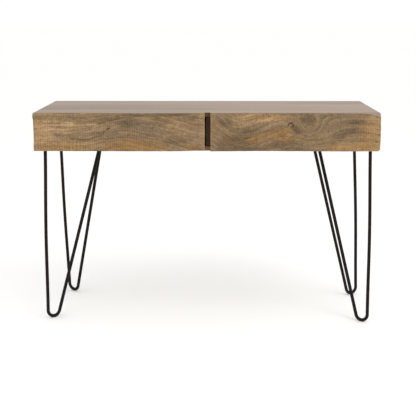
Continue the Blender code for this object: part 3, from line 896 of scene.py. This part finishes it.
def blackIron():
    finish = Finish("black iron", 0.14)
    scale = finish.noise(finish.place, 55.0, 4.0, 0.6)
    fine = finish.noise(finish.place, 900.0, 3.0, 0.6)
    drawn = finish.noise(finish.scaled(finish.place, (700.0, 700.0, 14.0)), 1.0, 2.0)
    colour = finish.mix(finish.rise(scale, 0.42, 0.66), ironTones["base"], ironTones["scale"])
    colour = finish.mix(finish.rise(fine * 0.5 + scale * 0.5, 0.57, 0.68) * 0.5, colour, ironTones["worn"])
    roughness = 0.48 + scale * 0.16 + drawn * 0.08
    height = scale * 0.04 + fine * 0.025 + drawn * 0.015
    return finish.done(colour, roughness, height, 0.0)


def zincSteel():
    finish = Finish("zinc steel", 0.5)
    drawn = finish.noise(finish.scaled(finish.place, (900.0, 12.0, 900.0)), 1.0, 3.0)
    stain = finish.noise(finish.place, 38.0, 3.0)
    tarnish = finish.rise(drawn * 0.4 + stain * 0.6, 0.35, 0.65)
    colour = finish.mix(tarnish, zincTones["base"], zincTones["dull"])
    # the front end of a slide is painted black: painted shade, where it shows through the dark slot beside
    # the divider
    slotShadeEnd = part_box("left_drawer_left_slide_drawer_channel")[0].y + zincTones["slotShadeLength"]
    metal = finish.rise(finish.parts(finish.place)[1], slotShadeEnd, slotShadeEnd + 0.0004)
    colour = finish.mix(metal, zincTones["slotShade"], colour)
    roughness = 0.30 + drawn * 0.08 + stain * 0.14 + (1.0 - metal) * 0.2
    return finish.done(colour, roughness, drawn * 0.02, metal)


ironFinish = blackIron()
zincFinish = zincSteel()

legs = {
    # which end and face, then the rod's outer top, inner top and foot. The outer top and the foot are
    # (in from the case's end, in from the desk's face or back), and the inner top is (in from the
    # end, out from the desk's middle line)
    "front_left": (-1, -1, (0.026, 0.075), (0.208, 0.056), (0.038, 0.085)),
    "front_right": (1, -1, (0.021, 0.071), (0.193, 0.058), (0.040, 0.040)),
    "back_right": (1, 1, (0.030, 0.084), (0.201, 0.076), (0.029, 0.103)),
    "back_left": (-1, 1, (0.027, 0.079), (0.201, 0.050), (0.062, 0.054)),
}
rod = {
    "radius": 0.006,
    "bendRadius": 0.023,
    "bow": 0.003,
    "sides": 28,
    "gap": 0.0003,  # between a rod's top and its plate
}


def unit(vector):
    return vector / np.linalg.norm(vector)


def rodPath(end, face, outerIn, innerIn, footIn):
    # straight down from the outer top, round the foot and up to the inner top
    topZ = desk["plateBottom"] - rod["gap"]
    outerTop = np.array((end * (desk["caseEnd"] - outerIn[0]), face * (desk["back"] - outerIn[1]), topZ))
    innerTop = np.array((end * (desk["caseEnd"] - innerIn[0]), face * innerIn[1], topZ))
    foot = np.array((end * (desk["caseEnd"] - footIn[0]), face * (desk["back"] - footIn[1]), rod["radius"]))
    sideways = unit(np.cross(outerTop - foot, innerTop - foot))
    upright = unit(np.array((0, 0, 1.0)) - sideways * sideways[2])
    centre = foot + upright * rod["bendRadius"]

    def touch(top, turn):
        # where a line from this top touches the bend's circle
        away = top - centre
        distance = np.linalg.norm(away)
        angle = turn * math.acos(rod["bendRadius"] / distance)
        towards = away / distance
        swung = towards * math.cos(angle) + np.cross(sideways, towards) * math.sin(angle)
        return centre + rod["bendRadius"] * swung

    ends = {}
    for turn in (1, -1):
        ends[turn] = (touch(outerTop, turn), touch(innerTop, -turn))
    turn = min(ends, key=lambda key: ends[key][0][2] + ends[key][1][2])
    outerTouch, innerTouch = ends[turn]

    share = np.linspace(0, 1, 48)[:, None]
    outerHalf = outerTop + (outerTouch - outerTop) * share
    outwards = unit(np.cross(sideways, outerTouch - outerTop))
    outwards = outwards * np.sign(outwards @ (outerTop - innerTop))
    outerHalf = outerHalf + outwards * rod["bow"] * np.sin(math.pi * share) ** 2
    innerHalf = innerTouch + (innerTop - innerTouch) * share
    first = outerTouch - centre
    last = innerTouch - centre
    side = np.cross(sideways, first)
    sweep = math.atan2(last @ side, last @ first)
    middle = foot - centre
    if math.atan2(middle @ side, middle @ first) * sweep < 0:
        sweep -= math.copysign(2 * math.pi, sweep)
    angle = (np.linspace(0, 1, 36)[1:-1] * sweep)[:, None]
    bend = centre + first * np.cos(angle) + side * np.sin(angle)
    return np.concatenate((outerHalf, bend, innerHalf)), sideways


def legRod(leg, place):
    path, sideways = rodPath(*place)
    name = leg + "_leg_rod"
    path = np.concatenate((path[:1], path, path[-1:]))
    path[0, 2] += 0.0001
    path[-1, 2] += 0.0001
    radius = np.full(len(path), rod["radius"])
    radius[[0, -1]] = 0.0
    points, quads = tube(path, sideways, radius, rod["sides"])
    piece(name + "_round", points, quads, ironFinish, "case", [name])
    for half, top in (("outer", path[1]), ("inner", path[-2])):
        weldBead(f"{leg}_leg_weld_{half}", top, len(leg) + len(half))


bead = {
    "out": 0.0072,
    "thick": 0.0024,
    "ripples": 17,
    "rippleHeight": 0.00035,
    "around": 97,
    "section": 13,
}


def weldBead(name, top, seed):
    # a ring of small overlapping ripples round the rod, against the plate
    aroundAngles = np.linspace(0, 2 * math.pi, bead["around"])
    sectionAngles = np.linspace(0, 2 * math.pi, bead["section"])
    around, section = np.meshgrid(aroundAngles, sectionAngles, indexing="ij")
    lump = 0.0005 * wander(np.cos(around) * 3 + 8, np.sin(around) * 3 + 8, seed)
    ripple = bead["rippleHeight"] * np.abs(np.sin(around * bead["ripples"] / 2))
    thick = bead["thick"] + lump + ripple
    out = bead["out"] + thick * np.cos(section)
    rise = thick * np.sin(section) * 0.9
    points = np.stack((out * np.cos(around), out * np.sin(around), rise), axis=-1)
    points = points.reshape(-1, 3) + top + np.array((0, 0, -0.0006))
    points[:, 2] = np.minimum(points[:, 2], desk["plateBottom"] - 0.0001)
    made, quads = weld(points, gridQuads(bead["around"], bead["section"]))
    piece(name, made, quads, ironFinish, "case", [])


for leg, place in legs.items():
    legRod(leg, place)
    refinish(leg + "_leg_plate", ironFinish, 0.0006)
print("legs made")


screw = {
    "headRadius": 0.0045,
    "headHeight": 0.0026,
    "crossLength": 0.0026,
    "crossWidth": 0.0006,
    "crossDepth": 0.0012,
    "neckRadius": 0.00225,
    "shankRadius": 0.0021,
    "shankLength": 0.004,
}


def screwHead():
    # a pan head below z = 0 with a cross sunk in its crown, and a short shank above it
    spread = np.linspace(0, 1, 17)
    rim = [screw["headRadius"], screw["neckRadius"], screw["shankRadius"], 0.0]
    radius = np.concatenate((spread * screw["headRadius"], rim))
    dome = screw["headHeight"] * (1 - 0.30 * spread**4 - 0.12 * spread**12)
    height = np.concatenate((-dome, [-0.0002, -0.0002, screw["shankLength"], screw["shankLength"]]))

    def cross(radius, angle):
        x = np.abs(radius * np.cos(angle))
        y = np.abs(radius * np.sin(angle))
        arm = np.minimum(x, y)
        length = np.maximum(x, y)
        inWidth = ease((screw["crossWidth"] - arm) / 0.0003 + 0.5)
        inLength = ease((screw["crossLength"] - length) / 0.0005 + 0.5)
        row = np.arange(radius.shape[0])[:, None] < len(spread)
        return screw["crossDepth"] * (inWidth * inLength) * row

    return turned(radius, height, 64, cross)


ways = {
    # where a screw's tip points, as a turn of the head made above
    "up": lambda x, y, z: (x, y, z),
    "forward": lambda x, y, z: (x, -z, y),
    "right": lambda x, y, z: (z, x, y),
    "left": lambda x, y, z: (-z, x, -y),
}


def setScrew(name, finish, body, pointing, seat, size=1.0, replaced=()):
    points, quads = screwHead()
    turn = math.radians(13 * sum(name.encode()) % 90)
    x, y, z = (points * size).T
    spun = (x * math.cos(turn) - y * math.sin(turn), x * math.sin(turn) + y * math.cos(turn), z)
    placed = np.stack(ways[pointing](*spun), axis=1) + np.array(seat)
    piece(name, placed, quads[:, ::-1], finish, body, replaced)


def replaceScrew(name, finish, body, pointing):
    low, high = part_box(name)
    middle = (low + high) / 2
    if pointing == "up":
        seat = (middle.x, middle.y, low.z + screw["headHeight"])
    else:
        seat = (middle.x, high.y - screw["headHeight"], middle.z)
    setScrew(name + "_cross_head", finish, body, pointing, seat, 1.0, [name])


slide = {
    "gauge": 0.0012,
    "screwsAt": (-0.19, -0.03, 0.13),
    "screwSize": 0.8,
}


def slideScrews(side, hand):
    # small screws that hold a slide's inner channel to the drawer's side
    low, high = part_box(f"{side}_drawer_{hand}_slide_drawer_channel")
    face = high.x - slide["gauge"] if hand == "left" else low.x + slide["gauge"]
    pointing = "right" if hand == "left" else "left"
    for number, y in enumerate(slide["screwsAt"], 1):
        name = f"{side}_drawer_{hand}_slide_screw_{number}"
        seat = (face, y, (low.z + high.z) / 2)
        setScrew(name, zincFinish, side + "_drawer", pointing, seat, slide["screwSize"])


for leg in legs:
    for number in range(1, 5):
        replaceScrew(f"{leg}_leg_screw_{number}", ironFinish, "case", "up")
for side in frontBoards:
    for number in (1, 2):
        name = f"{side}_drawer_front_screw_{number}"
        replaceScrew(name, zincFinish, side + "_drawer", "forward")
    for hand in ("left", "right"):
        for channel in ("case_channel", "drawer_channel"):
            refinish(f"{side}_drawer_{hand}_slide_{channel}", zincFinish, 0.0003)
        slideScrews(side, hand)
print("screws and slides finished")


# Floor, light and camera

stage = {
    "floorTone": paint(252, 252, 251),
    "worldTone": (1.0, 1.0, 1.0, 1.0),
    "worldStrength": 1.03,
    "location": (0.027, -3.671, 1.088),
    "tiltDown": 10.934,  # degrees
    "turnLeft": 0.375,  # degrees
    "lens": 85.54,
}
lamps = {
    # place, aim, size, power
    "key": ((1.6, -1.6, 2.7), (0.1, 0.0, 0.7), 1.6, 28.0),
    "fill": ((-2.2, -2.0, 1.7), (0.0, 0.0, 0.6), 1.8, 10.0),
}


def pale():
    finish = Finish("pale floor", 0.2)
    cloud = finish.noise(finish.place, 1.4, 3.0)
    grit = finish.noise(finish.place, 420.0, 2.0)
    colour = finish.shade(stage["floorTone"], 0.985 + cloud * 0.02)
    return finish.done(colour, 0.75 + grit * 0.1, grit * 0.02)


floorShape = {"innerRadius": 0.5, "rings": 9, "sides": 48}


def makeFloor():
    # a flat disc: rings about the desk, each twice as wide as the last
    rings = floorShape["innerRadius"] * 2.0 ** np.arange(floorShape["rings"])
    radius = np.concatenate(([0.0], rings))
    points, quads = turned(radius[::-1], np.zeros(len(radius)), floorShape["sides"])
    mesh = bpy.data.meshes.new("floor")
    corners = [list(dict.fromkeys(quad)) for quad in quads[:, ::-1].tolist()]
    mesh.from_pydata(points.tolist(), [], corners)
    mesh.materials.append(pale())
    floor = bpy.data.objects.new("floor", mesh)
    bpy.context.scene.collection.objects.link(floor)


def aim(obj, place, target):
    ahead = Vector(target) - Vector(place)
    obj.location = place
    obj.rotation_euler = ahead.to_track_quat("-Z", "Y").to_euler()


def makeLights():
    scene = bpy.context.scene
    world = bpy.data.worlds.new("studio")
    world.use_nodes = True
    background = world.node_tree.nodes["Background"]
    background.inputs["Color"].default_value = stage["worldTone"]
    background.inputs["Strength"].default_value = stage["worldStrength"]
    scene.world = world
    scene.view_settings.view_transform = "Standard"
    for name, (place, target, size, power) in lamps.items():
        light = bpy.data.lights.new(name, "AREA")
        light.size = size
        light.energy = power
        lamp = bpy.data.objects.new(name, light)
        scene.collection.objects.link(lamp)
        aim(lamp, place, target)


def makeCamera():
    camera = bpy.data.cameras.new("camera")
    camera.lens = stage["lens"]
    camera.sensor_width = 36.0
    camera.clip_end = 400.0
    holder = bpy.data.objects.new("camera", camera)
    holder.location = stage["location"]
    pitch = math.radians(90 - stage["tiltDown"])
    holder.rotation_euler = (pitch, 0.0, math.radians(stage["turnLeft"]))
    bpy.context.scene.collection.objects.link(holder)
    bpy.context.scene.camera = holder


makeFloor()
makeLights()
makeCamera()
print("floor, lights and camera set")
